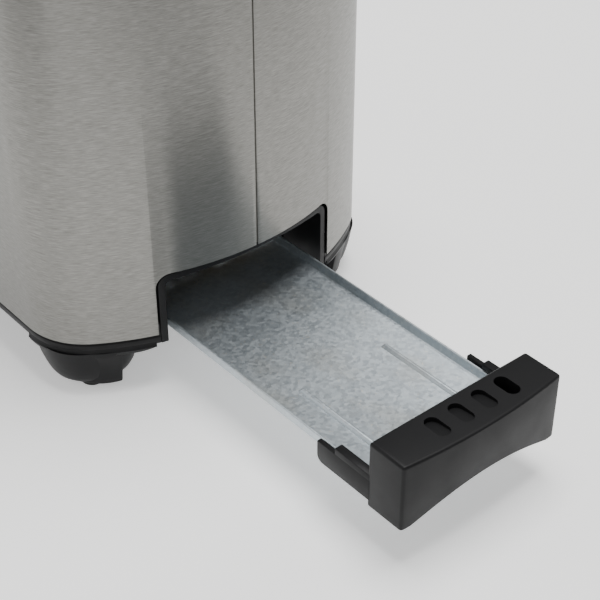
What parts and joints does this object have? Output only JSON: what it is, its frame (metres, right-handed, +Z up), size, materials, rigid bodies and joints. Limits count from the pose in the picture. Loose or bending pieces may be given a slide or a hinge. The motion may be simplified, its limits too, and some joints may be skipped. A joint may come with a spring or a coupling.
{
  "type": "pop-up toaster",
  "caption": "Pop-up toaster with bowed brushed steel sides, a lever carriage, dial and push buttons, and a crumb tray drawn out on its moulded black handle.",
  "frame": {"origin": "on the table under the middle of the body, between its feet", "axes": "+X the way the crumb tray pulls out, +Z up, +Y to the right-hand side seen from the lever end"},
  "size_m": [0.4593, 0.19, 0.213],
  "materials": {
    "black_plastic": "moulded, fine satin texture",
    "rubber": "moulded matt",
    "brushed_steel": "brushed along the body's girth",
    "galvanised_steel": "galvanised sheet, dull blue-grey",
    "zinc_plated_steel": "bright zinc plate",
    "sheet_steel": "plain aluminised sheet",
    "chromed_wire": "drawn and plated",
    "mica": "pressed mica sheet",
    "heating_wire": "oxidised resistance strip",
    "brass": "stamped",
    "spring_steel": "drawn wire",
    "circuit_board": "green solder mask",
    "component_plastic": "moulded",
    "core_iron": "laminated soft iron",
    "copper_winding": "enamelled copper wire",
    "button_plastic": "satin moulded",
    "lamp_lens": "clear lens",
    "terminal_plastic": "moulded nylon",
    "wire_sleeve": "silicone sleeving"
  },
  "bodies": {
    "chassis": {"base_moulding": "black_plastic", "rubber_foot_tray_left": "rubber", "rubber_foot_tray_right": "rubber", "rubber_foot_lever_left": "rubber", "rubber_foot_lever_right": "rubber", "base_screws": "zinc_plated_steel", "cord_gland": "rubber", "wrap_panel_left": "brushed_steel", "wrap_panel_right": "brushed_steel", "top_cover": "black_plastic", "slot_plate": "brushed_steel", "control_fascia": "black_plastic", "lever_bulkhead": "sheet_steel", "tray_bulkhead": "sheet_steel", "reflector_left": "sheet_steel", "reflector_right": "sheet_steel", "centre_divider": "sheet_steel", "oven_top_frame": "sheet_steel", "heater_board_1": "mica", "heater_board_2": "mica", "heater_board_3": "mica", "heater_board_4": "mica", "heater_ribbon_1": "heating_wire", "heater_ribbon_2": "heating_wire", "heater_ribbon_3": "heating_wire", "heater_ribbon_4": "heating_wire", "bus_bar": "brass", "carriage_posts": "zinc_plated_steel", "return_spring": "spring_steel", "control_board": "circuit_board", "board_components": "component_plastic", "magnet_core": "core_iron", "magnet_coils": "copper_winding", "browning_potentiometer": "component_plastic", "button_switches": "component_plastic", "indicator_lights": "lamp_lens", "contact_block": "component_plastic", "contact_leaves": "brass", "terminal_block": "terminal_plastic", "internal_wires": "wire_sleeve", "chassis_screws": "zinc_plated_steel"},
    "tray": {"crumb_tray": "galvanised_steel", "tray_handle": "black_plastic", "tray_screws": "zinc_plated_steel"},
    "carriage": {"carriage_plate": "zinc_plated_steel", "bread_lifter_left": "chromed_wire", "bread_lifter_right": "chromed_wire", "armature_keeper": "zinc_plated_steel", "lever_knob": "black_plastic"},
    "bread_guide_1": {"bread_guide_1": "chromed_wire"},
    "bread_guide_2": {"bread_guide_2": "chromed_wire"},
    "bread_guide_3": {"bread_guide_3": "chromed_wire"},
    "bread_guide_4": {"bread_guide_4": "chromed_wire"},
    "browning_dial": {"browning_knob": "black_plastic", "browning_shaft": "zinc_plated_steel"},
    "cancel_button": {"cancel_button": "button_plastic"},
    "reheat_button": {"reheat_button": "button_plastic"},
    "defrost_button": {"defrost_button": "button_plastic"},
    "bagel_button": {"bagel_button": "button_plastic"}
  },
  "joints": [
    {"name": "tray_slide", "type": "slide", "parent": "chassis", "child": "tray", "axis": [1, 0, 0], "range_m": [-0.155, 0.055]},
    {"name": "carriage_slide", "type": "slide", "parent": "chassis", "child": "carriage", "axis": [0, 0, 1], "range_m": [-0.08, 0], "stiffness_N_per_m": 60, "springref_m": 0.03, "deforming": ["return_spring"]},
    {"name": "browning_turn", "type": "hinge", "parent": "chassis", "child": "browning_dial", "pos_m": [-0.15, -0.014, 0.078], "axis": [-1, 0, 0], "range_deg": [-135, 135]},
    {"name": "bread_guide_1_hinge", "type": "hinge", "parent": "chassis", "child": "bread_guide_1", "pos_m": [0.02, -0.0515, 0.054], "axis": [1, 0, 0], "range_deg": [-4.2, 0.2]},
    {"name": "bread_guide_2_hinge", "type": "hinge", "parent": "chassis", "child": "bread_guide_2", "pos_m": [0.02, -0.0205, 0.054], "axis": [1, 0, 0], "range_deg": [-0.2, 4.2]},
    {"name": "bread_guide_3_hinge", "type": "hinge", "parent": "chassis", "child": "bread_guide_3", "pos_m": [0.02, 0.0205, 0.054], "axis": [1, 0, 0], "range_deg": [-4.2, 0.2]},
    {"name": "bread_guide_4_hinge", "type": "hinge", "parent": "chassis", "child": "bread_guide_4", "pos_m": [0.02, 0.0515, 0.054], "axis": [1, 0, 0], "range_deg": [-0.2, 4.2]},
    {"name": "cancel_button_push", "type": "slide", "parent": "chassis", "child": "cancel_button", "axis": [1, 0, 0], "range_m": [0, 0.0015], "stiffness_N_per_m": 400},
    {"name": "reheat_button_push", "type": "slide", "parent": "chassis", "child": "reheat_button", "axis": [1, 0, 0], "range_m": [0, 0.0015], "stiffness_N_per_m": 400},
    {"name": "defrost_button_push", "type": "slide", "parent": "chassis", "child": "defrost_button", "axis": [1, 0, 0], "range_m": [0, 0.0015], "stiffness_N_per_m": 400},
    {"name": "bagel_button_push", "type": "slide", "parent": "chassis", "child": "bagel_button", "axis": [1, 0, 0], "range_m": [0, 0.0015], "stiffness_N_per_m": 400}
  ],
  "couplings": [
    {"joint": "bread_guide_1_hinge", "follows": "carriage_slide", "rad_per_m": 0.87266},
    {"joint": "bread_guide_2_hinge", "follows": "carriage_slide", "rad_per_m": -0.87266},
    {"joint": "bread_guide_3_hinge", "follows": "carriage_slide", "rad_per_m": 0.87266},
    {"joint": "bread_guide_4_hinge", "follows": "carriage_slide", "rad_per_m": -0.87266}
  ]
}
